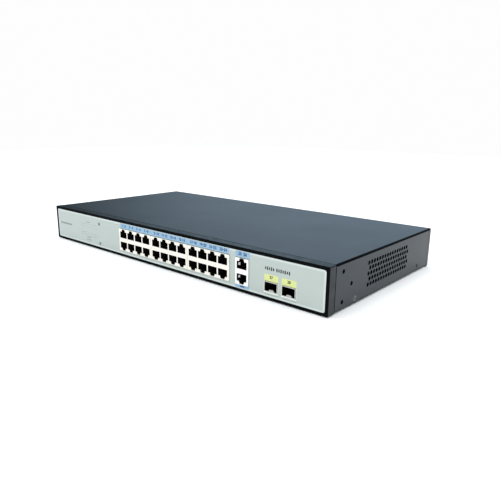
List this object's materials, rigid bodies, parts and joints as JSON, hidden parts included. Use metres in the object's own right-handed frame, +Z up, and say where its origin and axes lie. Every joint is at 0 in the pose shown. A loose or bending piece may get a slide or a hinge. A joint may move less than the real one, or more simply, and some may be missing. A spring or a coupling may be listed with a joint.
{
  "type": "rackmount network switch",
  "caption": "Slim one-unit rackmount network switch: black steel case, pale front panel with rows of network sockets, an uplink pair, two fibre slots, side vents and rear power inlet.",
  "frame": {"origin": "bottom centre of the case, on the plane it rests on", "axes": "+X along the front to the side whose vents show (the viewer's right), -Y out of the front panel, +Z up"},
  "size_m": [0.44, 0.2202, 0.044],
  "materials": {
    "cover_black_steel": "fine matte powder coat",
    "pan_steel": "galvanised sheet, satin",
    "bezel_black": "moulded, fine texture",
    "panel_pale": "printed overlay, satin",
    "jack_white": "moulded, satin gloss",
    "insert_black": "moulded",
    "shield_tin": "tin plated, bright",
    "cage_nickel": "nickel plated, satin",
    "screw_zinc": "zinc plated",
    "screw_black": "black zinc",
    "standoff_brass": "machined",
    "board_green": "solder mask over fibreglass",
    "board_tan": "bare phenolic board",
    "light_clear": "clear moulded acrylic",
    "heatsink_aluminium": "extruded, bare",
    "ferrite_dark": "ferrite core with tape",
    "capacitor_sleeve": "shrink sleeve",
    "coil_copper": "enamelled copper wire",
    "wire_red": "insulated wire bundle",
    "wire_black": "insulated wire bundle",
    "rocker_black": "moulded, polished"
  },
  "bodies": {
    "case": {"ac_harness": "wire_black", "base_pan": "pan_steel", "board_standoff_1": "standoff_brass", "board_standoff_2": "standoff_brass", "board_standoff_3": "standoff_brass", "board_standoff_4": "standoff_brass", "bulk_capacitor": "capacitor_sleeve", "cover_screw_1": "screw_zinc", "cover_screw_2": "screw_black", "cover_screw_3": "screw_zinc", "cover_screw_4": "screw_black", "dc_harness": "wire_red", "fan_bracket": "pan_steel", "fan_frame_1": "insert_black", "fan_frame_2": "insert_black", "front_bezel": "bezel_black", "front_panel": "panel_pale", "ground_screw": "screw_zinc", "jack_module_1": "jack_white", "jack_module_2": "jack_white", "jack_module_3": "jack_white", "jack_terminals_1": "insert_black", "jack_terminals_2": "insert_black", "jack_terminals_3": "insert_black", "led_board": "board_green", "light_pipe": "light_clear", "line_choke": "coil_copper", "magnetics_1": "insert_black", "magnetics_2": "insert_black", "magnetics_3": "insert_black", "main_board": "board_green", "mode_switch": "screw_zinc", "power_board": "board_tan", "power_board_standoff_1": "standoff_brass", "power_board_standoff_2": "standoff_brass", "power_board_standoff_3": "standoff_brass", "power_board_standoff_4": "standoff_brass", "power_inlet": "insert_black", "power_transformer": "ferrite_dark", "primary_heatsink": "heatsink_aluminium", "rear_panel": "cover_black_steel", "rear_panel_screw_1": "screw_black", "rear_panel_screw_2": "screw_black", "reset_switch": "screw_zinc", "rocker_housing": "insert_black", "secondary_heatsink": "heatsink_aluminium", "sfp_cage_1": "cage_nickel", "sfp_cage_2": "cage_nickel", "sfp_connector_1": "insert_black", "sfp_connector_2": "insert_black", "switch_chip": "insert_black", "switch_heatsink": "heatsink_aluminium", "top_cover": "cover_black_steel", "uplink_jack": "insert_black", "uplink_shield": "shield_tin"},
    "rocker": {"rocker": "rocker_black"},
    "reset_button": {"reset_button": "insert_black"},
    "mode_button": {"mode_button": "insert_black"},
    "fan_rotor_1": {"fan_rotor_1": "insert_black"},
    "fan_rotor_2": {"fan_rotor_2": "insert_black"}
  },
  "joints": [
    {"name": "rocker_tip", "type": "hinge", "parent": "case", "child": "rocker", "pos_m": [-0.112, 0.107, 0.0215], "axis": [1, 0, 0], "range_deg": [0, 20]},
    {"name": "reset_press", "type": "slide", "parent": "case", "child": "reset_button", "axis": [0, 1, 0], "range_m": [0, 0.0006], "stiffness_N_per_m": 400},
    {"name": "mode_press", "type": "slide", "parent": "case", "child": "mode_button", "axis": [0, 1, 0], "range_m": [0, 0.0006], "stiffness_N_per_m": 400},
    {"name": "fan_1_spin", "type": "hinge", "parent": "case", "child": "fan_rotor_1", "pos_m": [-0.2115, -0.0193, 0.0223], "axis": [1, 0, 0], "continuous": true},
    {"name": "fan_2_spin", "type": "hinge", "parent": "case", "child": "fan_rotor_2", "pos_m": [-0.2115, 0.0227, 0.0223], "axis": [1, 0, 0], "continuous": true}
  ]
}
